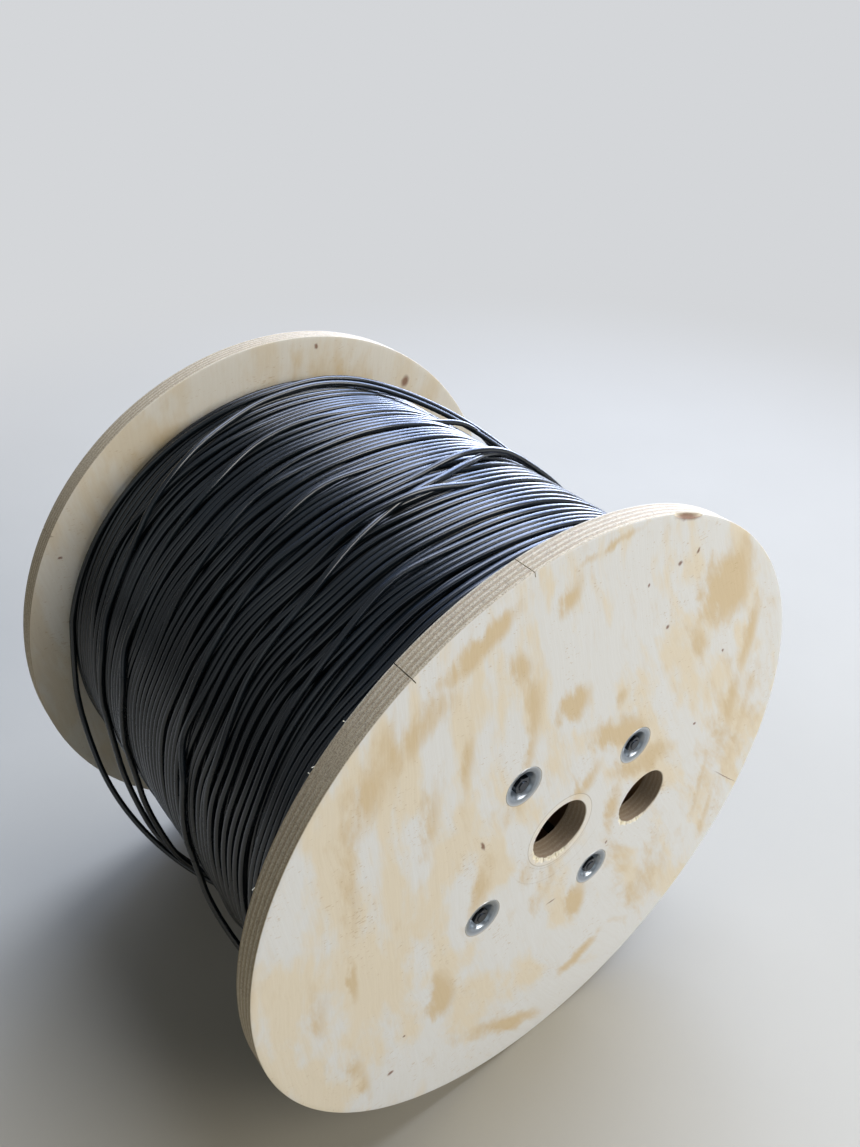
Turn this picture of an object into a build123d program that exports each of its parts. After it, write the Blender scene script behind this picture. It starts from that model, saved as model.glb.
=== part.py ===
from build123d import *
import math
import os

# A plywood cable drum standing on its rims, full of black outdoor cable.
# The drum's axis lies along Y, its front flange faces -Y and the floor is at Z = 0.
# All sizes are in millimetres.

# Drum
flange_diameter = 800.0
flange_thickness = 27.0
traverse = 584.0
spindle_bore_diameter = 82.0
drive_hole_diameter = 78.0
drive_hole_offset = 151.0
drive_hole_angle = -16.0

# Barrel, let into a round groove in each flange
barrel_diameter = 420.0
barrel_wall = 10.0
barrel_seat_depth = 8.0
seat_clearance = 0.2

# Tie rods that clamp the flanges on the barrel
rod_count = 4
rod_diameter = 12.0
rod_circle_diameter = 264.0
first_rod_angle = 30.0
rod_hole_clearance = 0.5
rod_end_recess = 1.0

# Cup washers, let in flush with the outer faces, and their nuts
washer_diameter = 50.0
washer_rim_width = 2.6
washer_floor_diameter = 29.0
washer_depth = 14.0
washer_thickness = 2.0
washer_seat_clearance = 0.15
nut_across_flats = 19.0
nut_height = 10.0
thread_clearance = 0.1

# Cable, wound in nested layers
cable_diameter = 8.0
winding_diameter = 683.0
winding_clearance = 0.3
layer_pitch = 7.0
layers_on_ends = 3
layer_groove_depth = 2.0

# Gaps between groups of turns in the outer layer, as deep as one layer
group_gap_places = [-206.0, -144.0, -84.0, -30.0, 48.0, 142.0, 206.0]
group_gap_width = 12.0

# Turns that hang loose under the winding: points of X, Y and height along each one
loose_turn_routes = {
    "loose_turn_1": [
        (-336, 284, 485), (-345, 284, 434), (-359, 273, 346), (-359, 192, 224), (-296, 86, 118),
        (-174, -5, 39), (-17, -64, 16), (111, -90, 58), (179, -100, 103), (220, -104, 132),
    ],
    "loose_turn_2": [
        (-346, 180, 417), (-345, 176, 366), (-344, 166, 281), (-326, 114, 176), (-228, 37, 73),
        (-76, -27, 27), (59, -58, 47), (136, -66, 81), (179, -69, 103),
    ],
    "loose_turn_3": [
        (-347, 112, 400), (-343, 110, 350), (-341, 100, 279), (-310, 70, 156), (-169, 36, 54),
        (-20, 17, 37), (77, 8, 62), (126, 6, 77),
    ],
    "loose_turn_4": [
        (-346, -62, 383), (-342, -64, 343), (-337, -78, 268), (-303, -124, 148), (-164, -160, 46),
        (-10, -174, 36), (77, -180, 62), (126, -181, 77),
    ],
}
bend_share = 0.45

# Places worked out from the sizes above
axis_height = flange_diameter / 2
inner_face = traverse / 2
outer_face = inner_face + flange_thickness
rod_angles = [first_rod_angle + 360 / rod_count * k for k in range(rod_count)]
washer_floor_face = outer_face - washer_depth + washer_thickness


def along_axis(start, end, radius, at=(0.0, 0.0)):
    """A round bar along the drum's axis from Y = start to Y = end."""
    low, high = min(start, end), max(start, end)
    centre = Vector(at[0], (low + high) / 2, axis_height + at[1])
    return Pos(centre) * Rot(90, 0, 0) * Cylinder(radius, high - low)


def on_circle(radius, angle):
    """Sideways and upward distance from the drum's axis."""
    turn = math.radians(angle)
    return radius * math.cos(turn), radius * math.sin(turn)


def turned(profile, side, at=(0.0, 0.0)):
    """A turned solid: profile points are (radius, depth below the outer face)."""
    points = [(r, side * (outer_face - depth)) for r, depth in profile]
    section = make_face(Polyline(points, close=True))
    return Pos(at[0], 0, axis_height + at[1]) * revolve(section, Axis.Y)


def washer_seat_profile(gap):
    """The countersink that the dished washer is pressed into."""
    rim, floor = washer_diameter / 2, washer_floor_diameter / 2
    return [
        (0, -1),
        (rim + gap, -1),
        (rim + gap, washer_thickness),
        (rim - washer_rim_width + gap, washer_thickness),
        (floor + gap, washer_depth),
        (0, washer_depth),
    ]


def make_flange(side):
    """One plywood disc. side is -1 at the front and 1 at the rear."""
    disc = along_axis(side * inner_face, side * outer_face, flange_diameter / 2)
    reach = side * (outer_face + 1)
    start = side * (inner_face - 1)
    disc -= along_axis(start, reach, spindle_bore_diameter / 2)
    drive_at = on_circle(drive_hole_offset, drive_hole_angle)
    disc -= along_axis(start, reach, drive_hole_diameter / 2, drive_at)
    seat_bottom = side * (inner_face + barrel_seat_depth)
    groove = along_axis(start, seat_bottom, barrel_diameter / 2 + seat_clearance)
    groove -= along_axis(start, seat_bottom, barrel_diameter / 2 - barrel_wall - seat_clearance)
    disc -= groove
    for angle in rod_angles:
        at = on_circle(rod_circle_diameter / 2, angle)
        disc -= along_axis(start, reach, rod_diameter / 2 + rod_hole_clearance, at)
        disc -= turned(washer_seat_profile(washer_seat_clearance), side, at)
    return disc


def make_barrel():
    """The hidden tube that the cable is wound on."""
    end = inner_face + barrel_seat_depth - seat_clearance
    tube = along_axis(-end, end, barrel_diameter / 2)
    tube -= along_axis(-end - 1, end + 1, barrel_diameter / 2 - barrel_wall)
    return tube


def make_rod(angle):
    """One tie rod, its ends just below the outer faces."""
    at = on_circle(rod_circle_diameter / 2, angle)
    end = outer_face - rod_end_recess
    return along_axis(-end, end, rod_diameter / 2, at)


def make_cup_washer(side, angle):
    """A dished steel washer with a flat rim, flush with the wood."""
    rim, floor = washer_diameter / 2, washer_floor_diameter / 2
    hole = rod_diameter / 2 + rod_hole_clearance
    slope_start = rim - washer_rim_width
    profile = [
        (rim, 0),
        (rim, washer_thickness),
        (slope_start, washer_thickness),
        (floor, washer_depth),
        (hole, washer_depth),
        (hole, washer_depth - washer_thickness),
        (floor - washer_thickness, washer_depth - washer_thickness),
        (slope_start - washer_thickness, 0),
    ]
    return turned(profile, side, on_circle(rod_circle_diameter / 2, angle))


def make_nut(side, angle):
    """A hexagon nut on the washer's floor."""
    at = on_circle(rod_circle_diameter / 2, angle)
    hexagon = RegularPolygon(nut_across_flats / 2, 6, major_radius=False)
    hexagon -= Circle(rod_diameter / 2 + thread_clearance)
    middle = side * (washer_floor_face + nut_height / 2)
    body = extrude(hexagon, nut_height / 2, both=True)
    return Pos(at[0], middle, axis_height + at[1]) * Rot(90, 0, 0) * body


def make_winding():
    """The wound cable as one turned solid whose outer layers show on its ends."""
    inside = barrel_diameter / 2 + winding_clearance
    outside = winding_diameter / 2
    end = inner_face - winding_clearance
    edge = []
    for layer in range(layers_on_ends):
        crest = outside - layer * layer_pitch
        edge.append((crest - layer_pitch / 4, end))
        edge.append((crest - layer_pitch * 3 / 4, end))
        edge.append((crest - layer_pitch, end - layer_groove_depth))
    edge.append((crest - layer_pitch * 5 / 4, end))
    far_side = [(outside, end - layer_groove_depth)] + edge + [(inside, end)]
    near_side = [(r, -y) for r, y in reversed(far_side)]
    outer_line = []
    for place in group_gap_places:
        outer_line.append((outside, place - group_gap_width / 2))
        outer_line.append((outside - layer_pitch, place))
        outer_line.append((outside, place + group_gap_width / 2))
    section = make_face(Polyline(far_side + near_side + outer_line, close=True))
    return Pos(0, 0, axis_height) * revolve(section, Axis.Y)


def make_loose_turn(route):
    """A round cable along straight runs joined by tangent arcs."""
    points = [Vector(*p) for p in route]
    radii = []
    for before, corner, after in zip(points, points[1:], points[2:]):
        first, second = corner - before, after - corner
        half_turn = math.radians(first.get_angle(second)) / 2
        shorter = min(first.length, second.length)
        radii.append(bend_share * shorter / math.tan(half_turn))
    path = FilletPolyline(points, radius=radii)
    print("tightest bend", round(min(radii), 1), "length", round(path.length, 1))
    section = Plane(path @ 0, z_dir=path % 0) * Circle(cable_diameter / 2)
    return sweep(section, path=path)


os.makedirs("parts", exist_ok=True)
nodes = {
    "front_flange": make_flange(-1),
    "rear_flange": make_flange(1),
    "barrel": make_barrel(),
    "cable_winding": make_winding(),
}
for number, angle in enumerate(rod_angles, start=1):
    nodes[f"tie_rod_{number}"] = make_rod(angle)
    nodes[f"front_cup_washer_{number}"] = make_cup_washer(-1, angle)
    nodes[f"rear_cup_washer_{number}"] = make_cup_washer(1, angle)
    nodes[f"front_nut_{number}"] = make_nut(-1, angle)
    nodes[f"rear_nut_{number}"] = make_nut(1, angle)
for name, route in loose_turn_routes.items():
    nodes[name] = make_loose_turn(route)
for name, shape in nodes.items():
    export_step(shape, f"parts/{name}.step")
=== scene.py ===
import math

import bpy
import numpy as np
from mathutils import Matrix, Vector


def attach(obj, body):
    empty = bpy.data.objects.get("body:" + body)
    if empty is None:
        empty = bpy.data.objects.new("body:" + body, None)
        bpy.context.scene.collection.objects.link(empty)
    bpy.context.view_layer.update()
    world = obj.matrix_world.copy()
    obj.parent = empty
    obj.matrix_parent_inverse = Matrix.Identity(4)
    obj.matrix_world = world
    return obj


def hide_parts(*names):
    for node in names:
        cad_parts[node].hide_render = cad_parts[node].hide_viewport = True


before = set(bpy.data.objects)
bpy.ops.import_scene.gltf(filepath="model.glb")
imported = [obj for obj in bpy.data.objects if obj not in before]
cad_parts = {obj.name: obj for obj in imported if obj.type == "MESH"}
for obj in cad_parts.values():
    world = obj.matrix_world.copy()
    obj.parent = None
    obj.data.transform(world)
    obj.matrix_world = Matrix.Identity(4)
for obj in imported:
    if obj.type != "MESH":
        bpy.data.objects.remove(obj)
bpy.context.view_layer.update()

# Camera: above the drum's left shoulder, looking down on the front flange.
# The lens and the small shift are those of a phone held upright and cropped.
camera_data = bpy.data.cameras.new("camera")
camera_data.sensor_width = 36
camera_data.lens = 29.642
camera_data.shift_x = 0.01252
camera_data.shift_y = -0.03154
camera = bpy.data.objects.new("camera", camera_data)
camera.location = (-0.57355, -0.80474, 1.26997)
camera.rotation_euler = (math.radians(57.334), 0, math.radians(-36.923))
bpy.context.scene.collection.objects.link(camera)
bpy.context.scene.camera = camera


# Loose turns: four slack turns of the cable that have slipped down and hang under the winding.
# Each is 8 mm outdoor cable with an extruded polyethylene sheath, resting against the winding at its ends.
cable_radius = 0.004
cable_width = 2 * cable_radius
loose_turn_routes = {
    "loose_turn_1": [
        (-0.336, 0.284, 0.485), (-0.345, 0.284, 0.434), (-0.359, 0.273, 0.346),
        (-0.359, 0.192, 0.224), (-0.296, 0.086, 0.118), (-0.174, -0.005, 0.039),
        (-0.017, -0.064, 0.016), (0.111, -0.090, 0.058), (0.179, -0.100, 0.103),
        (0.220, -0.104, 0.132),
    ],
    "loose_turn_2": [
        (-0.346, 0.180, 0.417), (-0.345, 0.176, 0.366), (-0.344, 0.166, 0.281),
        (-0.326, 0.114, 0.176), (-0.228, 0.037, 0.073), (-0.076, -0.027, 0.027),
        (0.059, -0.058, 0.047), (0.136, -0.066, 0.081), (0.179, -0.069, 0.103),
    ],
    "loose_turn_3": [
        (-0.347, 0.112, 0.400), (-0.343, 0.110, 0.350), (-0.341, 0.100, 0.279),
        (-0.310, 0.070, 0.156), (-0.169, 0.036, 0.054), (-0.020, 0.017, 0.037),
        (0.077, 0.008, 0.062), (0.126, 0.006, 0.077),
    ],
    "loose_turn_4": [
        (-0.346, -0.062, 0.383), (-0.342, -0.064, 0.343), (-0.337, -0.078, 0.268),
        (-0.303, -0.124, 0.148), (-0.164, -0.160, 0.046), (-0.010, -0.174, 0.036),
        (0.077, -0.180, 0.062), (0.126, -0.181, 0.077),
    ],
}


def srgb(code):
    """A colour code as the linear colour that a shader takes."""
    shares = [int(code[k:k + 2], 16) / 255 for k in (1, 3, 5)]
    linear = [s / 12.92 if s <= 0.04045 else ((s + 0.055) / 1.055) ** 2.4 for s in shares]
    return (*linear, 1.0)


def add_node(material, kind, inputs=None, **settings):
    """Adds a node with its settings and its values. A value that is a node links to the output that node has
    in use, and one that is a socket links to that socket."""
    node = material.node_tree.nodes.new(kind)
    for name, value in settings.items():
        setattr(node, name, value)
    for name, value in (inputs or {}).items():
        if isinstance(value, bpy.types.Node):
            value = next(socket for socket in value.outputs if socket.enabled)
        if isinstance(value, bpy.types.NodeSocket):
            material.node_tree.links.new(value, node.inputs[name])
        else:
            node.inputs[name].default_value = value
    return node


def new_finish(name):
    """An empty material."""
    material = bpy.data.materials.new(name)
    material.use_nodes = True
    material.node_tree.nodes.clear()
    return material


def close_finish(material, shader):
    """Gives the material its output, which the shader feeds."""
    add_node(material, "ShaderNodeOutputMaterial", {"Surface": shader})


# Black polyethylene sheath, extruded: a smooth satin skin that mirrors windows as long thin lines.
# It has a faint dusty bloom in patches about 60 mm across and a fine skin texture of 1 mm.
sheath = new_finish("black_polyethylene_sheath")
place = add_node(sheath, "ShaderNodeTexCoord").outputs["Object"]
bloom = add_node(sheath, "ShaderNodeTexNoise", {"Vector": place, "Scale": 1 / 0.06, "Detail": 4.0})
sheath_colour = add_node(sheath, "ShaderNodeMix", {
    "Factor": bloom, 6: srgb("#080D10"), 7: srgb("#131B1F"),
}, data_type="RGBA")
sheath_rough = add_node(sheath, "ShaderNodeMapRange", {
    "Value": bloom, "From Min": 0.3, "From Max": 0.7, "To Min": 0.22, "To Max": 0.3,
})
skin = add_node(sheath, "ShaderNodeTexNoise", {"Vector": place, "Scale": 1 / 0.0012, "Detail": 2.0})
skin_bump = add_node(sheath, "ShaderNodeBump", {"Height": skin, "Strength": 0.1, "Distance": 0.0002})
close_finish(sheath, add_node(sheath, "ShaderNodeBsdfPrincipled", {
    "Base Color": sheath_colour, "Roughness": sheath_rough, "Normal": skin_bump, "IOR": 1.6,
}))


def cable_curve(name, lines, closed, steps, facets):
    """Lengths of round cable along smooth lines, as one curve object."""
    curve = bpy.data.curves.new(name, "CURVE")
    curve.dimensions = "3D"
    curve.bevel_depth = cable_radius
    curve.bevel_resolution = facets
    curve.use_fill_caps = not closed
    for line in lines:
        spline = curve.splines.new("NURBS")
        spline.points.add(len(line) - 1)
        for point, place in zip(spline.points, line):
            point.co = (*place, 1)
        spline.order_u = 3
        spline.use_cyclic_u = closed
        spline.use_endpoint_u = not closed
        spline.resolution_u = steps
    piece = bpy.data.objects.new(name, curve)
    bpy.context.scene.collection.objects.link(piece)
    curve.materials.append(sheath)
    return piece


for name, route in loose_turn_routes.items():
    loose_turn = cable_curve("slack_" + name, [route], False, 12, 4)
    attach(loose_turn, "root")
    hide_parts(name)


# Cable winding: the same cable wound on the barrel in nested layers, of which the outer two show.
# Turns lie side by side in groups, with gaps that open and close, and some turns cross over the others.
axle = 0.4
winding_half = 0.2917
winding_radius = 0.3415
core_bore = 0.2103
core_radius = 0.326
under_turns = 71
outer_turns = 45
nesting = 0.875 * cable_width
chance = np.random.default_rng(20)
slices = 160
turn_angle = np.linspace(0, 360, slices, endpoint=False)


def smooth_through(known_at, known, at):
    """Values between known ones, with no overshoot at the highest and lowest."""
    slope = np.gradient(known, known_at, axis=0)
    rising = np.diff(known, axis=0)
    slope[1:-1][rising[1:] * rising[:-1] <= 0] = 0
    left = np.clip(np.searchsorted(known_at, at, side="right") - 1, 0, len(known_at) - 2)
    width = known_at[left + 1] - known_at[left]
    t = (at - known_at[left]) / width
    if known.ndim > 1:
        width, t = width[:, None], t[:, None]
    rise = (3 - 2 * t) * t * t
    bend = (slope[left] * t * (1 - t) ** 2 - slope[left + 1] * t * t * (1 - t)) * width
    return known[left] * (1 - rise) + known[left + 1] * rise + bend


def around(keys, values):
    """Values at key angles, carried smoothly round the whole turn."""
    at = np.array(keys) % 360
    order = np.argsort(at)
    at = at[order]
    known = np.array(values, float)[order]
    return smooth_through(np.concatenate([at - 360, at, at + 360]), np.concatenate([known] * 3), turn_angle)


def eased(share):
    """A share from 0 to 1 that starts and stops gently."""
    share = np.clip(share, 0, 1)
    return share * share * (3 - 2 * share)


def softened(values, reach):
    """A running average round the turn, over the given number of slices."""
    weights = np.hanning(2 * reach + 3)[1:-1]
    weights /= weights.sum()
    return sum(w * np.roll(values, k - reach, axis=0) for k, w in enumerate(weights))


def laid_side_by_side(count, looseness, layouts, rooms=(), grooves=()):
    """Places along the axis of a layer's turns, slice by slice. No turn lies in its neighbour, and the spare
    width between the flanges is shared out as gaps that wander round the drum. Rooms are slots that open
    for another turn, and grooves are slots that get more of the spare width."""
    spacing = np.full((slices, count + 1), cable_width)
    spacing[:, [0, -1]] = cable_width / 2
    for slot, room in rooms:
        spacing[np.arange(slices), np.round(slot).astype(int) + 1] += cable_width * room
    spare = 2 * winding_half - spacing.sum(axis=1)
    draws = []
    for angle, lean in layouts:
        shares = chance.dirichlet([looseness] * (count + 1))
        shares[list(grooves)] += 2 / count
        draws.append(shares * np.linspace(1 + lean, 1 - lean, count + 1))
    shares = around([angle for angle, lean in layouts], draws)
    shares /= shares.sum(axis=1, keepdims=True)
    places = -winding_half + np.cumsum(spacing + shares * spare[:, None], axis=1)[:, :-1]
    return softened(places, 2)


def between_turns(layer, slot):
    """The place along the axis of a turn that lies between two turns of a layer, slice by slice."""
    rank = slot + 0.5
    low = np.floor(rank).astype(int)
    row = np.arange(slices)
    return layer[row, low] + (rank - low) * (layer[row, low + 1] - layer[row, low])


def rest_height(line, below):
    """How far from the axle a turn lies when it rests on the turns below it."""
    height = np.full(slices, winding_radius - 3 * cable_width)
    for under, under_height in below:
        across = np.minimum(1, np.abs(line - under) / cable_width)
        over = under_height + cable_width * np.sqrt(1 - across ** 2)
        height = np.where(across < 1, np.maximum(height, over), height)
    return height


def stiffened(height, reach):
    """The cable can't follow every dip, so it rides on the highest places and bends gently."""
    highest = np.max([np.roll(height, k) for k in range(-reach, reach + 1)], axis=0)
    return np.maximum(softened(highest, reach), height)


def ring(line, height):
    """The points of one turn, from its places along the axis and its distances from the axle."""
    turn = np.radians(turn_angle)
    return np.stack([-height * np.sin(turn), line, axle + height * np.cos(turn)], axis=1)


under_layer = laid_side_by_side(under_turns, 0.6, [(0, 0), (95, 0), (170, 0), (260, 0)])
under_height = winding_radius - cable_radius - nesting
laid = [(line, np.full(slices, under_height)) for line in under_layer.T]
under_rings = [ring(line, height) for line, height in laid]

# Crossing turns: each lies in a slot between two turns of the outer layer and climbs over its neighbours
# into another. Each row is an angle from the top towards -X in degrees and a slot, counted from the front.
crossing_turns = [
    [(66, 11), (50, 12.1), (10, 16.1), (-28, 19.6), (-45, 20), (-140, 20), (-250, 11)],
    [(110, 25), (47, 25), (24, 27), (-60, 27), (-170, 27), (-230, 25)],
    [(130, 21), (48, 21), (12, 23), (-80, 23), (-180, 21)],
    [(120, 31), (38, 31), (8, 33), (-70, 33), (-170, 31)],
    [(115, 7), (46, 7), (20, 9), (-60, 9), (-170, 7)],
    [(130, 17), (56, 17), (33, 19), (-20, 19), (-50, 18), (-180, 17)],
    [(120, 2), (52, 2), (22, 1), (-80, 1), (-180, 2)],
    [(100, 38), (62, 38), (24, 36), (-70, 36), (-170, 38)],
]
slots = []
for keys in crossing_turns:
    slot = around(*zip(*keys))
    # The neighbours make room only where the turn lies in a slot and stays in it.
    in_slot = np.clip(1.3 - 5 * np.abs(slot - np.round(slot)), 0, 1)
    staying = np.clip(1.5 - 12 * np.abs(np.gradient(slot)), 0, 1)
    slots.append((slot, softened(in_slot * staying, 3)))
# The slack turns go on from the loose ends over the top of the drum, where two of them stand clear of
# the others. Each row is an angle, a place along the axis in mm and a lift in mm, and its ends meet a loose
# turn. Some lie bedded in a slot of the outer layer between two angles, counted from their first end.
slack_turns = {
    "loose_turn_1": ([(75.8, 284, 0), (40, 274, 0), (5, 256, 1), (-22, 240, 6), (-36, 176, 10),
                      (-51, 100, 12), (-72, 10, 8), (-100, -62, 2), (-140.6, -104, 0)], (0, 0, 43)),
    "loose_turn_2": ([(87.2, 180, 0), (60, 183, 0), (34, 208, 0), (5, 243, 0), (-22, 228, 2),
                      (-36, 164, 5), (-51, 88, 7), (-72, 8, 5), (-104, -44, 1), (-148.9, -69, 0)],
                     (12, 46, 35)),
    "loose_turn_3": ([(90, 112, 0), (50, 108, 0), (0, 98, 0), (-60, 84, 0), (-110, 44, 0), (-158.7, 6, 0)],
                     (14, 190, 30)),
    "loose_turn_4": ([(92.8, -62, 0), (50, -68, 0), (0, -78, 0), (-60, -104, 0), (-110, -150, 0),
                      (-158.7, -181, 0)], (14, 190, 16)),
}
loose_end_height = 0.3466
bedding_angle = 12
settling_angle = 20
slack = {}
for name, (keys, (bed_from, bed_to, slot)) in slack_turns.items():
    at, along, lift = (np.array(values, float) for values in zip(*keys))
    span = at[0] - at[-1]
    passed = (at[0] - turn_angle + 90) % 360 - 90
    shares = (at[0] - at) / span
    share = np.clip(passed / span, 0, 1)
    line = smooth_through(shares, along, share) / 1000
    raised = np.maximum(0, smooth_through(shares, lift, share)) / 1000
    bedding = np.clip((passed - bed_from) / bedding_angle, 0, 1)
    bedded = eased(bedding * np.clip((bed_to - passed) / bedding_angle, 0, 1))
    slot = np.full(slices, float(slot))
    slots.append((slot, bedded))
    slack[name] = (line, raised, passed, span, slot, bedded)

outer_layer = laid_side_by_side(
    outer_turns, 0.9, [(-45, 0), (-8, -0.3), (28, 0.15), (62, 0.55), (115, 0.3), (190, 0), (260, 0)],
    slots, (7, 11, 16, 20, 26, 33, 38))
outer_height = [rest_height(line, laid) for line in outer_layer.T]
laid += list(zip(outer_layer.T, outer_height))
outer_rings = [ring(line, stiffened(height, 2)) for line, height in zip(outer_layer.T, outer_height)]
for slot, room in slots[:len(crossing_turns)]:
    line = softened(between_turns(outer_layer, slot), 1)
    height = stiffened(rest_height(line, laid), 4)
    laid.append((line, height))
    outer_rings.append(ring(line, height))

slack_lines = []
for name, (line, raised, passed, span, slot, bedded) in slack.items():
    line = line * (1 - bedded) + between_turns(outer_layer, slot) * bedded
    height = stiffened(rest_height(line, laid), 4)
    laid.append((line, height))
    settled = eased(np.minimum(passed, span - passed) / settling_angle)
    height = np.maximum((height + raised) * settled + loose_end_height * (1 - settled), height)
    inside = np.where((passed > 1) & (passed < span - 1))[0]
    inside = inside[np.argsort(passed[inside])]
    route = loose_turn_routes[name]
    slack_lines.append([route[0], *ring(line, height)[inside], route[-1]])


def work_on(piece):
    """Makes the piece the only selected one, so that the next operator acts on it alone."""
    for other in bpy.context.selected_objects:
        other.select_set(False)
    piece.select_set(True)
    bpy.context.view_layer.objects.active = piece


def smooth_below(piece, degrees):
    """Smooth shading over the edges that turn by less than the given angle."""
    work_on(piece)
    bpy.ops.object.shade_smooth_by_angle(angle=math.radians(degrees))


def spun(name, profile, centre, steps):
    """A turned piece: profile points are (radius, place along Y), turned round an axis along Y."""
    mesh = bpy.data.meshes.new(name)
    points = [(centre[0] + r, y, centre[1]) for r, y in profile]
    mesh.from_pydata(points, [(k, k + 1) for k in range(len(points) - 1)], [])
    piece = bpy.data.objects.new(name, mesh)
    bpy.context.scene.collection.objects.link(piece)
    work_on(piece)
    bpy.ops.object.mode_set(mode="EDIT")
    bpy.ops.mesh.select_all(action="SELECT")
    bpy.ops.mesh.spin(steps=steps, angle=math.tau, center=(centre[0], 0, centre[1]), axis=(0, 1, 0))
    bpy.ops.mesh.select_all(action="SELECT")
    bpy.ops.mesh.remove_doubles(threshold=1e-6)
    bpy.ops.mesh.normals_make_consistent(inside=False)
    bpy.ops.object.mode_set(mode="OBJECT")
    return piece


winding_core = spun("winding_core", [
    (core_bore, -winding_half), (core_radius, -winding_half), (core_radius, winding_half),
    (core_bore, winding_half), (core_bore, -winding_half),
], (0, axle), 128)
winding_core.data.materials.append(sheath)
winding_pieces = [winding_core]
for name, lines, closed, steps in (
    ("slack_turns_over_the_top", slack_lines, False, 2),
    ("under_layer_turns", under_rings, True, 1),
    ("outer_layer_turns", outer_rings, True, 1),
):
    layer = cable_curve(name, lines, closed, steps, 2)
    work_on(layer)
    bpy.ops.object.convert(target="MESH")
    winding_pieces.append(layer)
for piece in winding_pieces:
    piece.data.shade_smooth()
    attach(piece, "root")
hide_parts("cable_winding")
smooth_below(winding_core, 40)


# Flanges: two discs sawn from 27 mm plywood of nine plies, with bored holes and countersunk washer seats.
# The sawn rim shows the plies as bands between glue lines, and its two arrises are slightly rounded.
flange_radius = 0.4
flange_thickness = 0.027
inner_face = 0.292
outer_face = inner_face + flange_thickness
ply_count = 9
ply_thickness = flange_thickness / ply_count
glue_line_depth = 0.0003
glue_line_half = 0.0004
arris = 0.0011
bolt_angles = [30, 120, 210, 300]
bolt_circle = 0.132
rod_hole = 0.0065
seat_lip = 0.0256
# A washer's seat as radius and depth under the outer face.
seat_depths = [
    (rod_hole, 0.014), (0.01465, 0.014), (0.02255, 0.002), (0.02515, 0.002), (0.02515, 0.0005), (seat_lip, 0),
]
groove_inside, groove_ring, groove_outside = 0.1998, 0.21, 0.2102
groove_depth = 0.008
spindle_radius, drive_radius = 0.041, 0.039
bore_chamfer = 0.0008
lip_wear = 0.0045
worn_side = 236
crack_width = 0.0009
spare_cut = 0.002
drive_reach, drive_angle = 0.151, math.radians(-16)
spindle_bore = (0, axle)
drive_hole = (drive_reach * math.cos(drive_angle), axle + drive_reach * math.sin(drive_angle))
flange_sides = (("front", -1), ("rear", 1))


def rounded_arris(turns, height):
    """Points round one arris of the rim. 0 degrees points to the outer face and 180 to the inner one."""
    corner = [(math.sin(math.radians(turn)), math.cos(math.radians(turn))) for turn in turns]
    return [(flange_radius - arris + arris * out, height + arris * up) for out, up in corner]


def rim_profile():
    """The rim from the inner face to the outer face, as (radius, distance from the inner face)."""
    flat_end = flange_radius - 0.006
    points = [(0, 0), (groove_ring, 0), (flat_end, 0)]
    points += rounded_arris((180, 150, 120, 90), arris)
    for k in range(1, ply_count):
        points += [
            (flange_radius, k * ply_thickness - glue_line_half),
            (flange_radius - glue_line_depth, k * ply_thickness),
            (flange_radius, k * ply_thickness + glue_line_half),
        ]
    points += rounded_arris((90, 60, 30, 0), flange_thickness - arris)
    return points + [(flat_end, flange_thickness), (0, flange_thickness)]


def bolt_place(angle):
    """Sideways place and height of a bolt, for its angle from +X towards +Z."""
    a = math.radians(angle)
    return bolt_circle * math.cos(a), axle + bolt_circle * math.sin(a)


def coated(piece, finish):
    """The piece gets one finish all over."""
    piece.data.materials.clear()
    piece.data.materials.append(finish)


def added_piece():
    """The primitive that was just added, with its place, turn and size applied to its mesh."""
    bpy.ops.object.transform_apply(location=True, rotation=True, scale=True)
    return bpy.context.active_object


def joined(pieces):
    """Several pieces made one."""
    work_on(pieces[0])
    for piece in pieces:
        piece.select_set(True)
    bpy.ops.object.join()
    return pieces[0]


def cut_with(piece, tool, operation, self_crossing=False):
    """Cuts the piece exactly with a tool, which is used up."""
    cut = piece.modifiers.new("cut", "BOOLEAN")
    cut.operation = operation
    cut.solver = "EXACT"
    cut.use_self = self_crossing
    cut.object = tool
    work_on(piece)
    bpy.ops.object.modifier_apply(modifier="cut")
    bpy.data.objects.remove(tool)


def bore_cutter(radius, centre, side, worn):
    """The tool of one bore, whose lip has worn and torn wider on its lower left."""
    near, far = side * (inner_face - spare_cut), side * (outer_face + spare_cut)
    lip = outer_face - bore_chamfer
    cutter = spun("bore_cutter", [
        (0, near), (radius, near), (radius, side * lip),
        (radius + bore_chamfer, side * outer_face), (radius + bore_chamfer, far), (0, far),
    ], centre, 160)
    for vertex in cutter.data.vertices:
        across, up = vertex.co.x - centre[0], vertex.co.z - centre[1]
        reach = math.hypot(across, up)
        if reach < radius - 0.001 or abs(vertex.co.y) < lip - 0.0001:
            continue
        turn = math.atan2(up, across)
        wear = worn * max(0, math.cos(turn - math.radians(worn_side))) ** 1.5
        wear *= (1 + 0.3 * math.sin(7 * turn) + 0.25 * math.sin(23 * turn + 1)
                 + 0.2 * math.sin(61 * turn))
        if reach > radius + bore_chamfer / 2:
            vertex.co.x += wear * across / reach
            vertex.co.z += wear * up / reach
        else:
            vertex.co.y -= side * 0.5 * wear
    return cutter


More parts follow.
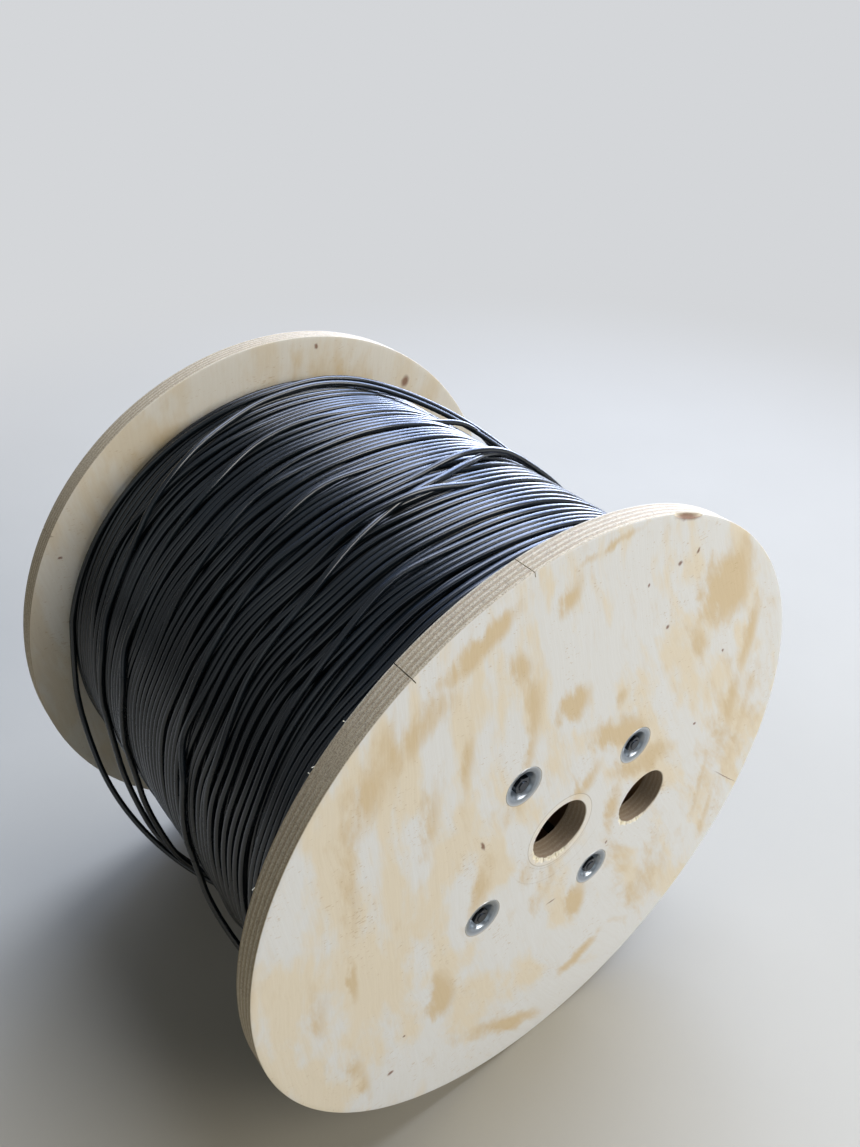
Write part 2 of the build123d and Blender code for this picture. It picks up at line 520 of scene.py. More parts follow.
def make_flange(name, side, cracks, chips):
    """One plywood disc with its holes, seats and barrel groove, its cracks in the rim and its chips."""
    disc = spun(name, [(r, side * (inner_face + y)) for r, y in rim_profile()], (0, axle), 360)
    cutters = [bore_cutter(spindle_radius, spindle_bore, side, lip_wear),
               bore_cutter(drive_radius, drive_hole, side, 0.8 * lip_wear)]
    near, far = side * (inner_face - spare_cut), side * (outer_face + spare_cut)
    seat = [(r, side * (outer_face - depth)) for r, depth in seat_depths]
    for angle in bolt_angles:
        cutters.append(spun("seat_cutter", [
            (0, near), (rod_hole, near), *seat, (seat_lip, far), (0, far),
        ], bolt_place(angle), 64))
    groove_end = side * (inner_face + groove_depth)
    cutters.append(spun("groove_cutter", [
        (groove_inside, near), (groove_outside, near), (groove_outside, groove_end),
        (groove_inside, groove_end), (groove_inside, near),
    ], (0, axle), 128))
    for turn, depth in cracks:
        a = math.radians(turn)
        reach = flange_radius - depth / 2 + spare_cut
        bpy.ops.mesh.primitive_cube_add(
            size=1, location=(-reach * math.sin(a), side * (inner_face + flange_thickness / 2),
                              axle + reach * math.cos(a)),
            scale=(crack_width, flange_thickness * 1.2, depth + 2 * spare_cut), rotation=(0, -a, 0))
        cutters.append(added_piece())
    cut_with(disc, joined(cutters), "DIFFERENCE")
    for (x, z), reach, turn, half_length, depth, half_width in chips:
        a = math.radians(turn)
        bpy.ops.mesh.primitive_uv_sphere_add(
            segments=24, ring_count=12, radius=1,
            location=(x + reach * math.cos(a), side * outer_face, z + reach * math.sin(a)),
            scale=(half_length, depth, half_width), rotation=(0, -a - math.pi / 2, 0))
        cut_with(disc, added_piece(), "DIFFERENCE", True)
    smooth_below(disc, 18)
    return disc


def jittered(material, place, noise, reach):
    """The place pushed about by a noise's colour, by up to half the reach in metres."""
    push = add_node(material, "ShaderNodeVectorMath", {
        0: noise.outputs["Color"], 1: (0.5, 0.5, 0.5),
    }, operation="SUBTRACT")
    return add_node(material, "ShaderNodeVectorMath", {
        0: push, 1: (reach, reach, reach), 2: place,
    }, operation="MULTIPLY_ADD")


def strongest(material, masks):
    """The highest of several masks, place by place."""
    highest = masks[0]
    for mask in masks[1:]:
        highest = add_node(material, "ShaderNodeMath", {0: highest, 1: mask}, operation="MAXIMUM")
    return highest


def ovals(material, place, rows, outside, inside, **settings):
    """Soft ovals: x, height, half width and half length in mm, turn and strength of each. They fade
    between two reaches, given in half sizes."""
    masks = []
    for x, z, half_width, half_length, turn, amount in rows:
        oval = add_node(material, "ShaderNodeMapping", {
            "Vector": place,
            "Location": (x / 1000, 0, z / 1000),
            "Rotation": (0, math.radians(turn), 0),
            "Scale": (half_width / 1000, 100, half_length / 1000),
        }, vector_type="TEXTURE")
        reach = add_node(material, "ShaderNodeVectorMath", {0: oval}, operation="LENGTH")
        masks.append(add_node(material, "ShaderNodeMapRange", {
            "Value": reach, "From Min": outside, "From Max": inside, "To Max": amount,
        }, **settings))
    return strongest(material, masks)


def face_veneer(name, pale, cream, honey, patches, knots_and_chip_shade, grain_lean):
    """Rotary-cut face veneer, sawn plies on the rim, and what is drawn on them."""
    ply = new_finish(name)
    place = add_node(ply, "ShaderNodeTexCoord").outputs["Object"]
    centred = add_node(ply, "ShaderNodeMapping", {"Vector": place, "Location": (0, 0, -axle)})
    axes = add_node(ply, "ShaderNodeSeparateXYZ", {"Vector": centred})
    depth = add_node(ply, "ShaderNodeMath", {0: axes.outputs["Y"]}, operation="ABSOLUTE")

    # Grain: streaks about 2 mm wide and 100 mm long, bent by slow swirls of the log.
    swirl = add_node(ply, "ShaderNodeTexNoise", {"Vector": centred, "Scale": 1 / 0.25, "Detail": 3.0})
    swirled = add_node(ply, "ShaderNodeSeparateXYZ", {"Vector": jittered(ply, centred, swirl, 0.05)})
    lean = add_node(ply, "ShaderNodeMapRange", {
        "Value": axes.outputs["X"], "From Min": -0.3, "From Max": 0.15,
        "To Min": grain_lean[0], "To Max": grain_lean[1],
    })
    across = add_node(ply, "ShaderNodeMath", {
        0: swirled.outputs["Z"], 1: lean, 2: swirled.outputs["X"],
    }, operation="MULTIPLY_ADD")
    along = add_node(ply, "ShaderNodeCombineXYZ", {
        "X": across, "Y": swirled.outputs["Y"], "Z": swirled.outputs["Z"],
    })
    streaks, cloud_shape, check_shape = (
        add_node(ply, "ShaderNodeMapping", {"Vector": along, "Scale": (1 / width, 1 / width, 1 / length)})
        for width, length in ((0.003, 0.12), (0.05, 0.14), (0.006, 0.0016))
    )
    grain = add_node(ply, "ShaderNodeTexNoise", {
        "Vector": streaks, "Scale": 1.0, "Detail": 5.0, "Roughness": 0.6,
    })
    clouds = add_node(ply, "ShaderNodeTexNoise", {
        "Vector": cloud_shape, "Scale": 1.0, "Detail": 6.0, "Roughness": 0.55,
    })
    # The veneer turns creamier towards both sides of the disc and whiter towards its foot.
    aside = add_node(ply, "ShaderNodeMath", {0: axes.outputs["X"], 1: 0.08}, operation="SUBTRACT")
    aside = add_node(ply, "ShaderNodeMath", {0: aside}, operation="ABSOLUTE")
    foot = add_node(ply, "ShaderNodeMath", {0: axes.outputs["Z"], 1: 0.0}, operation="MINIMUM")
    creamier = clouds
    for lead in (aside, foot):
        creamier = add_node(ply, "ShaderNodeMath", {0: lead, 1: 0.24, 2: creamier}, operation="MULTIPLY_ADD")
    base = add_node(ply, "ShaderNodeMapRange", {
        "Value": creamier, "From Min": 0.48, "From Max": 0.65,
    }, interpolation_type="SMOOTHSTEP")
    colour = add_node(ply, "ShaderNodeMix", {
        "Factor": base, 6: srgb(pale), 7: srgb(cream),
    }, data_type="RGBA")

    # Honey patches: where the knife left the veneer thinner or resin shows, with ragged ends.
    ragged = add_node(ply, "ShaderNodeTexNoise", {
        "Vector": cloud_shape, "Scale": 2.2, "Detail": 7.0, "Roughness": 0.62,
    })
    patched = ovals(ply, jittered(ply, centred, ragged, 0.03), patches, 1.7, 0.3)
    frayed = add_node(ply, "ShaderNodeMath", {0: ragged, 1: 1.5, 2: patched}, operation="MULTIPLY_ADD")
    strength = add_node(ply, "ShaderNodeMapRange", {
        "Value": frayed, "From Min": 0.8, "From Max": 1.5,
    }, interpolation_type="SMOOTHSTEP")
    colour = add_node(ply, "ShaderNodeMix", {
        "Factor": strength, 6: colour, 7: srgb(honey),
    }, data_type="RGBA")
    lines = add_node(ply, "ShaderNodeMapRange", {
        "Value": grain, "From Min": 0.35, "From Max": 0.75, "To Max": 0.13,
    })
    colour = add_node(ply, "ShaderNodeMix", {
        "Factor": lines, 6: colour, 7: srgb(cream),
    }, data_type="RGBA", blend_type="MULTIPLY")

    # Lathe checks: tiny tears across the grain, about 5 mm long, in patches.
    checks = add_node(ply, "ShaderNodeTexNoise", {"Vector": check_shape, "Scale": 1.0, "Detail": 2.0})
    checked = add_node(ply, "ShaderNodeTexNoise", {"Vector": cloud_shape, "Scale": 1.3, "Detail": 2.0})
    checks = add_node(ply, "ShaderNodeMath", {0: checked, 1: 0.35, 2: checks}, operation="MULTIPLY_ADD")
    checks = add_node(ply, "ShaderNodeMapRange", {
        "Value": checks, "From Min": 0.86, "From Max": 0.93, "To Max": 0.6,
    })

    # The hole saw has left a paler ring and a scored line round the spindle bore. Below the bore two wider dark
    # lines are painted shade, where edges of shallow saw recesses fall into shadow. Each row is a radius, half
    # a width and a strength.
    on_face = add_node(ply, "ShaderNodeVectorMath", {0: centred, 1: (1, 0, 1)}, operation="MULTIPLY")
    bore_reach = add_node(ply, "ShaderNodeVectorMath", {0: on_face}, operation="LENGTH")
    scored_band = add_node(ply, "ShaderNodeMapRange", {
        "Value": bore_reach, "From Min": 0.0515, "From Max": 0.0495, "To Max": 0.45,
    })
    below = add_node(ply, "ShaderNodeMapRange", {
        "Value": axes.outputs["Z"], "From Min": -0.02, "From Max": -0.06,
    })
    scores_and_shade_lines = []
    for radius, width, amount in ((0.0505, 0.0007, 0.5), (0.0545, 0.0009, 0.3), (0.0755, 0.0007, 0.2)):
        dark_line = add_node(ply, "ShaderNodeMath", {0: bore_reach, 1: radius}, operation="SUBTRACT")
        dark_line = add_node(ply, "ShaderNodeMath", {0: dark_line}, operation="ABSOLUTE")
        dark_line = add_node(ply, "ShaderNodeMapRange", {
            "Value": dark_line, "From Min": width, "From Max": width * 0.3, "To Max": amount,
        })
        if scores_and_shade_lines:
            # Only below the bore: painted shade on the lower edges of the saw recesses.
            dark_line = add_node(ply, "ShaderNodeMath", {0: dark_line, 1: below}, operation="MULTIPLY")
        scores_and_shade_lines.append(dark_line)

    # Under the outermost skin the torn and chipped wood is paler.
    torn_in = add_node(ply, "ShaderNodeMapRange", {
        "Value": depth, "From Min": outer_face - 0.0001, "From Max": outer_face - 0.0006,
    })
    near_face = add_node(ply, "ShaderNodeMath", {0: depth, 1: outer_face - 0.006}, operation="GREATER_THAN")
    torn_in = add_node(ply, "ShaderNodeMath", {0: torn_in, 1: near_face}, operation="MULTIPLY")
    for mask, code in (
        (checks, "#B99C70"), (scored_band, "#E9E0CF"),
        # 8F7A5C is the scored line and, below the bore, the painted shade lines.
        (strongest(ply, scores_and_shade_lines), "#8F7A5C"), (torn_in, "#E9E0C8"),
    ):
        colour = add_node(ply, "ShaderNodeMix", {
            "Factor": mask, 6: colour, 7: srgb(code),
        }, data_type="RGBA")

    # Sawn plies of 3 mm, light long grain and darker end grain in turn, with dark glue lines. A ply shows
    # end grain where its fibres meet the rim squarely and long grain a quarter turn on.
    layer = add_node(ply, "ShaderNodeMath", {0: depth, 1: inner_face}, operation="SUBTRACT")
    wobble = add_node(ply, "ShaderNodeTexNoise", {"Vector": centred, "Scale": 1 / 0.05, "Detail": 3.0})
    layer = add_node(ply, "ShaderNodeMath", {0: wobble, 1: 0.0012, 2: layer}, operation="MULTIPLY_ADD")
    wave = add_node(ply, "ShaderNodeMath", {0: layer, 1: math.pi / ply_thickness}, operation="MULTIPLY")
    wave = add_node(ply, "ShaderNodeMath", {0: wave}, operation="SINE")
    normal = add_node(ply, "ShaderNodeNewGeometry").outputs["Normal"]
    squares = add_node(ply, "ShaderNodeVectorMath", {0: normal, 1: normal}, operation="MULTIPLY")
    squares = add_node(ply, "ShaderNodeSeparateXYZ", {"Vector": squares})
    quarter = add_node(ply, "ShaderNodeMath", {
        0: squares.outputs["X"], 1: squares.outputs["Z"],
    }, operation="SUBTRACT")
    turned_wave = add_node(ply, "ShaderNodeMath", {0: wave, 1: quarter}, operation="MULTIPLY")
    ends = add_node(ply, "ShaderNodeMapRange", {
        "Value": turned_wave, "From Min": -0.35, "From Max": 0.35,
    }, interpolation_type="SMOOTHSTEP")
    glue = add_node(ply, "ShaderNodeMath", {0: wave}, operation="ABSOLUTE")
    glue = add_node(ply, "ShaderNodeMapRange", {
        "Value": glue, "From Max": 0.25, "To Min": 0.24, "To Max": 0.0,
    })
    fibres = add_node(ply, "ShaderNodeTexNoise", {
        "Vector": centred, "Scale": 1 / 0.0014, "Detail": 4.0, "Roughness": 0.65,
    })
    strand_shape = add_node(ply, "ShaderNodeMapping", {
        "Vector": centred, "Scale": (1 / 0.0018, 1 / 0.0009, 1 / 0.0018),
    })
    strands = add_node(ply, "ShaderNodeTexNoise", {
        "Vector": strand_shape, "Scale": 1.0, "Detail": 5.0, "Roughness": 0.8,
    })
    specks = add_node(ply, "ShaderNodeMath", {0: fibres, 1: strands}, operation="ADD")
    specks = add_node(ply, "ShaderNodeMapRange", {
        "Value": specks, "From Min": 0.90, "From Max": 1.16, "To Max": 0.7,
    })
    # The hole saw has scorched the walls of the bores.
    scorched = add_node(ply, "ShaderNodeMapRange", {
        "Value": bore_reach, "From Min": 0.26, "From Max": 0.24, "To Max": 0.62,
    })
    sawn = add_node(ply, "ShaderNodeMix", {
        "Factor": ends, 6: srgb("#D3C4A4"), 7: srgb("#B9A582"),
    }, data_type="RGBA")
    for mask, code in ((glue, "#5A4430"), (specks, "#6E5840"), (scorched, "#A08C7A")):
        sawn = add_node(ply, "ShaderNodeMix", {"Factor": mask, 6: sawn, 7: srgb(code)}, data_type="RGBA")
    facing = add_node(ply, "ShaderNodeSeparateXYZ", {"Vector": normal})
    flat = add_node(ply, "ShaderNodeMath", {0: facing.outputs["Y"]}, operation="ABSOLUTE")
    flat = add_node(ply, "ShaderNodeMapRange", {"Value": flat, "From Min": 0.55, "From Max": 0.85})
    colour = add_node(ply, "ShaderNodeMix", {"Factor": flat, 6: sawn, 7: colour}, data_type="RGBA")

    # Knots and small bruises, with edges that follow the fibres, and a dark lens of painted shade in the chip
    # on the upper arris. They show on the faces and in what is chipped off them, and end within the outer ply
    # of the rim.
    fray = add_node(ply, "ShaderNodeTexNoise", {"Vector": centred, "Scale": 1 / 0.006, "Detail": 3.0})
    marks_and_chip_shade = ovals(ply, jittered(ply, centred, fray, 0.004), [(*mark_row, 0.85) for mark_row in knots_and_chip_shade], 1.4, 0.4,
                  interpolation_type="SMOOTHSTEP")
    outer_ply = add_node(ply, "ShaderNodeMath", {0: depth, 1: outer_face - 0.0033}, operation="GREATER_THAN")
    shown = strongest(ply, [flat, outer_ply])
    marks_and_chip_shade = add_node(ply, "ShaderNodeMath", {0: marks_and_chip_shade, 1: shown}, operation="MULTIPLY")
    colour = add_node(ply, "ShaderNodeMix", {
        "Factor": marks_and_chip_shade, 6: colour, 7: srgb("#74492F"),
    }, data_type="RGBA")

    relief = add_node(ply, "ShaderNodeMix", {"Factor": flat, 2: fibres, 3: grain}, data_type="FLOAT")
    bump = add_node(ply, "ShaderNodeBump", {"Height": relief, "Strength": 0.25, "Distance": 0.0006})
    close_finish(ply, add_node(ply, "ShaderNodeBsdfPrincipled", {
        "Base Color": colour, "Roughness": 0.72, "Normal": bump, "IOR": 1.45,
    }))
    return ply


# Patches: x and height from the disc's middle, half width and half length in mm, turn and strength.
# Knots are given in the same way, all at one strength. The last front row is painted shade, a dark lens
# in the chip on the upper arris.
front_patches = [
    (235, 245, 38, 52, -20, 1.0), (200, 178, 14, 32, -30, 0.75), (80, 105, 20, 44, -65, 0.9),
    (35, 55, 14, 30, 30, 0.6), (0, 195, 19, 20, -30, 0.9), (-135, 337, 13, 44, 62, 0.85),
    (-25, 345, 13, 20, 20, 0.75), (-258, 238, 22, 60, 22, 0.65), (-210, 272, 20, 44, 58, 0.6),
    (-85, 290, 12, 25, -40, 0.6), (-62, 225, 13, 45, -5, 0.6), (-147, 205, 9, 34, 0, 0.6),
    (-190, 150, 10, 50, 0, 0.55), (306, 140, 14, 60, 0, 0.7), (140, 28, 19, 52, -75, 0.75),
    (88, -25, 13, 42, 0, 0.6), (-118, -10, 18, 46, 20, 0.5), (-50, -45, 12, 26, 10, 0.35),
    (-170, -163, 16, 40, -8, 0.85), (45, -165, 14, 33, -5, 0.85), (122, -150, 20, 40, -20, 0.5),
    (190, -235, 40, 58, 20, 0.45), (-60, -330, 13, 62, -57, 0.7), (70, -297, 13, 34, 60, 0.65),
    (-285, -200, 8, 62, -10, 0.5), (-330, -40, 13, 40, 0, 0.4), (-288, -18, 5, 32, -4, 0.8),
    (-285, 110, 11, 62, 0, 0.45), (303, 20, 15, 110, 0, 0.5), (271, -106, 9, 90, 2, 0.45),
    (75, 162, 10, 13, 0, 0.5), (-80, 100, 20, 30, 0, 0.4), (190, -165, 20, 32, -20, 0.4),
    (335, -10, 14, 120, 2, 0.45), (304, -160, 10, 60, 0, 0.45), (315, -30, 60, 180, 0, 0.35),
    (-20, -95, 16, 40, 20, 0.4), (30, 382, 5, 42, 82, 0.5), (235, 340, 6, 44, -52, 0.5),
    (-60, 165, 8, 26, 0, 0.4),
]
front_knots_and_chip_shade = [
    (137, 315, 3.5, 3, 0), (165, 320, 2, 4, 30), (90, 307, 1.5, 3, 0), (-245, -242, 4, 3, 0),
    (228, 35, 3, 2, 30), (255, 140, 1.5, 3, -30), (-225, -187, 2, 2, 0), (88, -85, 2, 3, 0),
    (334, -127, 0.6, 42, 134), (-2, -128, 7, 1.2, 0), (135, 232, 3, 3, 0), (-120, 60, 2, 8, -20),
    # Painted shade in the chip on the upper arris, where its hollow would lie in shadow.
    (137, 372, 20, 4, 20),
]
front_ply = face_veneer("birch_plywood_front", "#DFDEDA", "#E1D5BE", "#D4BF9B",
                        front_patches, front_knots_and_chip_shade, (0.0, 0.5))
rear_patches = [
    (-180, 240, 60, 90, 30, 0.6), (120, 300, 50, 80, -30, 0.5), (200, -100, 60, 120, 10, 0.6),
    (-220, -150, 50, 110, -10, 0.5), (20, 60, 70, 90, 10, 0.5), (-40, -300, 60, 50, 40, 0.6),
]
rear_knots = [(230, 285, 7, 9, 20), (75, 378, 3, 4, 0), (-330, 182, 3, 2, 0), (-120, -210, 5, 4, 30)]
rear_ply = face_veneer("birch_plywood_rear", "#DAD2C1", "#D6C8AE", "#CDB68E",
                       rear_patches, rear_knots, (0.1, -0.2))
# Cracks: an angle from the top towards -X and a depth. Chips: a middle, a reach from it, an angle from +X
# towards +Z, and half a length, a depth and half a width.
for (name, side), ply, cracks, chips in zip(
    flange_sides, (front_ply, rear_ply),
    ([(11, 0.006), (32, 0.007)], [(57, 0.004)]),
    ([(spindle_bore, 0.3992, 70, 0.026, 0.0032, 0.0048)], []),
):
    flange = make_flange(name + "_flange_disc", side, cracks, chips)
    coated(flange, ply)
    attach(flange, "root")
    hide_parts(name + "_flange")


# Torn fibres: slivers of birch left by the saws, at the lower lips of the two bores and along the inner
# arris of the rim. Each row is a middle, a reach from it, a place along Y, two angles and a count.
fibre = new_finish("torn_birch_fibre")
close_finish(fibre, add_node(fibre, "ShaderNodeBsdfPrincipled", {
    "Base Color": srgb("#EDE3C4"), "Roughness": 0.8,
}))
slivers = []
for centre, radius, y, first, last, count in (
    (spindle_bore, spindle_radius + 0.0015, 0.0014 - outer_face, 196, 290, 24),
    (drive_hole, drive_radius + 0.0015, 0.0014 - outer_face, 192, 276, 18),
    (spindle_bore, 0.3995, 0.0002 - inner_face, 124, 160, 4),
):
    for turn in chance.uniform(first, last, count):
        a = math.radians(turn)
        bpy.ops.mesh.primitive_cone_add(
            vertices=4, radius1=0.0005, radius2=0.0001, depth=chance.uniform(0.003, 0.006),
            location=(centre[0] + radius * math.cos(a), y, centre[1] + radius * math.sin(a)),
            rotation=(0, -a - math.pi / 2 + chance.uniform(-0.7, 0.7), chance.uniform(-0.3, 0.3)))
        slivers.append(added_piece())
torn_fibres = joined(slivers)
torn_fibres.name = "torn_fibres"
torn_fibres.data.materials.append(fibre)
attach(torn_fibres, "root")


# Cup washers: dished steel pressings, zinc plated, with a wide lip that lies flush in the wood.
# Each is a 2 mm pressing whose cup spreads the pull of its nut over the countersunk seat.
zinc = new_finish("zinc_plated_steel")
place = add_node(zinc, "ShaderNodeTexCoord").outputs["Object"]
spangle = add_node(zinc, "ShaderNodeTexNoise", {"Vector": place, "Scale": 1 / 0.004, "Detail": 4.0})
zinc_colour = add_node(zinc, "ShaderNodeMix", {
    "Factor": spangle, 6: srgb("#8C949D"), 7: srgb("#AAB1B8"),
}, data_type="RGBA")
zinc_depth = add_node(zinc, "ShaderNodeSeparateXYZ", {"Vector": place})
zinc_depth = add_node(zinc, "ShaderNodeMath", {0: zinc_depth.outputs["Y"]}, operation="ABSOLUTE")
# Painted highlight: the lip's outer edge, flush with the face, is painted a lighter zinc all round, standing in
# for the bright outline that light draws on it.
lip_edge_highlight = add_node(zinc, "ShaderNodeMapRange", {
    "Value": zinc_depth, "From Min": outer_face - 0.0008, "From Max": outer_face - 0.0001,
})
zinc_colour = add_node(zinc, "ShaderNodeMix", {
    "Factor": lip_edge_highlight, 6: zinc_colour, 7: srgb("#C9CDD0"),
}, data_type="RGBA")
zinc_rough = add_node(zinc, "ShaderNodeMapRange", {"Value": spangle, "To Min": 0.24, "To Max": 0.36})
zinc_bump = add_node(zinc, "ShaderNodeBump", {"Height": spangle, "Strength": 0.2, "Distance": 0.0003})
close_finish(zinc, add_node(zinc, "ShaderNodeBsdfPrincipled", {
    "Base Color": zinc_colour, "Metallic": 1.0, "Roughness": zinc_rough, "Normal": zinc_bump,
}))


def mounted(piece, node, finish):
    """The piece gets its finish and stands for its CAD node."""
    coated(piece, finish)
    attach(piece, "root")
    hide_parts(node)


# A washer's pressing as radius and depth under the outer face: up its back, over the lip and down the dish.
washer_depths = [
    (0.0065, 0.0140), (0.0128, 0.0140), (0.0140, 0.0131), (0.0172, 0.0075), (0.0186, 0.0036),
    (0.0194, 0.0027), (0.0247, 0.0019), (0.0250, 0.0015), (0.0250, 0.0003), (0.0247, 0.0),
    (0.0241, 0.0), (0.0236, 0.0003), (0.0190, 0.0011), (0.0181, 0.0015), (0.0172, 0.0024),
    (0.0155, 0.0054), (0.0141, 0.0084), (0.0129, 0.0108), (0.0122, 0.0117), (0.0114, 0.0120),
    (0.0065, 0.0120), (0.0065, 0.0140),
]
for number, angle in enumerate(bolt_angles, start=1):
    for name, side in flange_sides:
        washer = spun(f"{name}_cup_washer_{number}_pressing",
                      [(r, side * (outer_face - depth)) for r, depth in washer_depths], bolt_place(angle), 72)
        smooth_below(washer, 50)
        mounted(washer, f"{name}_cup_washer_{number}", zinc)


# Nuts: M12 hexagon nuts, zinc plated, with their corners chamfered where they meet the spanner.
# Their zinc is painted dark grey, as on the ends of the rods: painted reflection of dark surroundings.
dark_painted_zinc = new_finish("zinc_steel_painted_dark")
place = add_node(dark_painted_zinc, "ShaderNodeTexCoord").outputs["Object"]
dark_mottle = add_node(dark_painted_zinc, "ShaderNodeTexNoise", {"Vector": place, "Scale": 1 / 0.003, "Detail": 4.0})
# Painted reflection: these dark greys stand in for dark surroundings mirrored in the metal.
painted_dark_colour = add_node(dark_painted_zinc, "ShaderNodeMix", {
    "Factor": dark_mottle, 6: srgb("#26292D"), 7: srgb("#565A60"),
}, data_type="RGBA")
close_finish(dark_painted_zinc, add_node(dark_painted_zinc, "ShaderNodeBsdfPrincipled", {
    "Base Color": painted_dark_colour, "Metallic": 1.0, "Roughness": 0.25,
}))
nut_base = outer_face - 0.012
nut_height = 0.010
nut_across_flats = 0.019
nut_turns = [12, 47, 25, 38]
crown_profile = [
    (0, 0), (0.0097, 0), (0.0112, 0.0009), (0.0112, nut_height - 0.0009), (0.0097, nut_height), (0, nut_height),
]
bore_profile = [(0, -0.001), (0.0061, -0.001), (0.0061, nut_height + 0.001), (0, nut_height + 0.001)]
for number, (angle, turn) in enumerate(zip(bolt_angles, nut_turns), start=1):
    for name, side in flange_sides:
        x, z = bolt_place(angle)
        bpy.ops.mesh.primitive_cylinder_add(
            vertices=6, radius=nut_across_flats / math.sqrt(3), depth=nut_height,
            location=(x, side * (nut_base + nut_height / 2), z),
            rotation=(math.radians(90), math.radians(turn), 0))
        nut = added_piece()
        nut.name = f"{name}_nut_{number}_hexagon"
        for tool, profile, operation in (
            ("crown", crown_profile, "INTERSECT"), ("nut_bore", bore_profile, "DIFFERENCE"),
        ):
            cutter = spun(tool, [(r, side * (nut_base + y)) for r, y in profile], (x, z), 48)
            cut_with(nut, cutter, operation)
        smooth_below(nut, 25)
        mounted(nut, f"{name}_nut_{number}", dark_painted_zinc)


# Tie rods: 12 mm steel rods through both flanges and the barrel, threaded at both ends for the nuts.
# The threads are rolled to a pitch of 1.75 mm, and what shows of them is painted dark grey like the nuts:
# painted reflection of dark surroundings.
rod_radius = 0.006
rod_end = outer_face - 0.001
thread_root = 0.0052
thread_start = rod_end - 0.030
thread_pitch = 0.00175
for number, angle in enumerate(bolt_angles, start=1):
    half = [(rod_radius, 0.0), (rod_radius, thread_start)]
    ridge = thread_start
    while ridge + thread_pitch < rod_end - 0.0008:
        half += [(thread_root, ridge + thread_pitch * 0.5), (rod_radius, ridge + thread_pitch)]
        ridge += thread_pitch
    half += [(thread_root, rod_end), (0, rod_end)]
    profile = [(r, -y) for r, y in reversed(half[1:])] + half
    rod = spun(f"tie_rod_{number}_threaded", profile, bolt_place(angle), 32)
    smooth_below(rod, 30)
    mounted(rod, f"tie_rod_{number}", dark_painted_zinc)


# Barrel: a round tube of bent board, let into a groove in each flange and clamped there by the rods.
# It is hidden under the cable and seen only in the bores.
board = new_finish("brown_barrel_board")
place = add_node(board, "ShaderNodeTexCoord").outputs["Object"]
board_grain = add_node(board, "ShaderNodeTexNoise", {"Vector": place, "Scale": 1 / 0.01, "Detail": 5.0})
board_colour = add_node(board, "ShaderNodeMix", {
    "Factor": board_grain, 6: srgb("#8F7050"), 7: srgb("#B89A72"),
}, data_type="RGBA")
close_finish(board, add_node(board, "ShaderNodeBsdfPrincipled", {
    "Base Color": board_colour, "Roughness": 0.85,
}))
coated(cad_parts["barrel"], board)


# Floor and light: a pale plain floor under soft light from above and in front, a wide cool window and skylight
# far off to the right, and a weak fill. Far away the floor fades into a pale backdrop for the camera.
backdrop = srgb("#D4D6D9")
bpy.ops.mesh.primitive_plane_add(size=60, location=(0, 0, 0))
floor = bpy.context.active_object
floor.name = "pale_floor"
concrete = new_finish("pale_concrete")
place = add_node(concrete, "ShaderNodeTexCoord").outputs["Object"]
mottle = add_node(concrete, "ShaderNodeTexNoise", {"Vector": place, "Scale": 3.0, "Detail": 6.0})
floor_colour = add_node(concrete, "ShaderNodeMix", {
    "Factor": mottle, 6: srgb("#A69E8C"), 7: srgb("#ADA593"),
}, data_type="RGBA")
near_floor = add_node(concrete, "ShaderNodeBsdfPrincipled", {"Base Color": floor_colour, "Roughness": 0.85})
far_floor = add_node(concrete, "ShaderNodeEmission", {"Color": backdrop})
distance = add_node(concrete, "ShaderNodeVectorMath", {0: place}, operation="LENGTH")
fade = add_node(concrete, "ShaderNodeMapRange", {
    "Value": distance, "From Min": 0.9, "From Max": 3.0,
}, interpolation_type="SMOOTHSTEP")
seen = add_node(concrete, "ShaderNodeLightPath")
fade = add_node(concrete, "ShaderNodeMath", {
    0: fade, 1: seen.outputs["Is Camera Ray"],
}, operation="MULTIPLY")
floor_shader = add_node(concrete, "ShaderNodeMixShader", {0: fade, 1: near_floor, 2: far_floor})
add_node(concrete, "ShaderNodeOutputMaterial", {"Surface": floor_shader})
floor.data.materials.append(concrete)


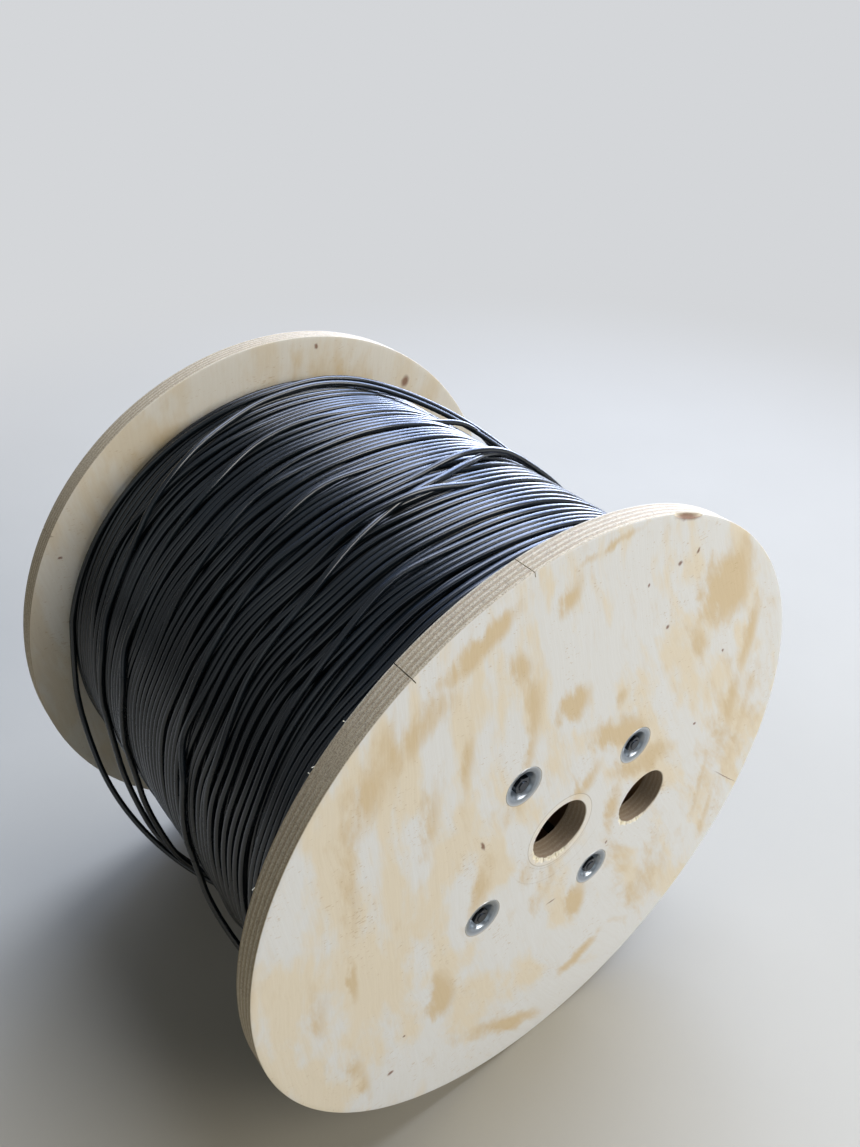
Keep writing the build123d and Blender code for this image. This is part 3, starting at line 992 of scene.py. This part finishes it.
def area_light(name, place, aim, size, power, code):
    """A soft rectangular light that looks at a point."""
    data = bpy.data.lights.new(name, "AREA")
    data.shape = "RECTANGLE"
    data.size, data.size_y = size
    data.energy = power
    data.color = srgb(code)[:3]
    light = bpy.data.objects.new(name, data)
    light.location = place
    towards = Vector(aim) - Vector(place)
    light.rotation_euler = towards.to_track_quat("-Z", "Y").to_euler()
    bpy.context.scene.collection.objects.link(light)


area_light("skylight", (5.8, 3.1, 5.1), (0, 0, 0.5), (7.0, 4.0), 740, "#B0CAFF")
area_light("window", (6.9, 4.0, 1.4), (0, 0, 0.5), (7.0, 2.4), 860, "#D6E2FF")
area_light("far_window", (3.0, 7.2, 2.9), (0, 0, 0.5), (5.0, 3.0), 80, "#8FB4FF")
area_light("ceiling", (1.8, 0.4, 4.2), (0, 0, 0.4), (3.0, 3.0), 250, "#D8E4FF")
area_light("front", (2.5, -3.9, 2.6), (0, 0, 0.4), (3.2, 2.4), 180, "#FDFBF7")
area_light("fill", (-3.2, -3.2, 2.6), (0, 0, 0.4), (3.6, 3.0), 16, "#E6F4F8")
world = bpy.data.worlds.new("studio")
world.use_nodes = True
world.node_tree.nodes.clear()
seen = add_node(world, "ShaderNodeLightPath")
sharp = add_node(world, "ShaderNodeMath", {
    0: seen.outputs["Is Glossy Ray"], 1: seen.outputs["Is Transmission Ray"],
}, operation="MAXIMUM")
behind = add_node(world, "ShaderNodeBackground", {"Color": backdrop})
around_it = add_node(world, "ShaderNodeBackground", {"Color": srgb("#D8DCE2"), "Strength": 0.2})
mirrored = add_node(world, "ShaderNodeBackground", {"Color": backdrop, "Strength": 0.35})
world_shader = add_node(world, "ShaderNodeMixShader", {0: sharp, 1: around_it, 2: mirrored})
world_shader = add_node(world, "ShaderNodeMixShader", {
    0: seen.outputs["Is Camera Ray"], 1: world_shader, 2: behind,
})
add_node(world, "ShaderNodeOutputWorld", {"Surface": world_shader})
bpy.context.scene.world = world
bpy.context.scene.view_settings.view_transform = "Standard"
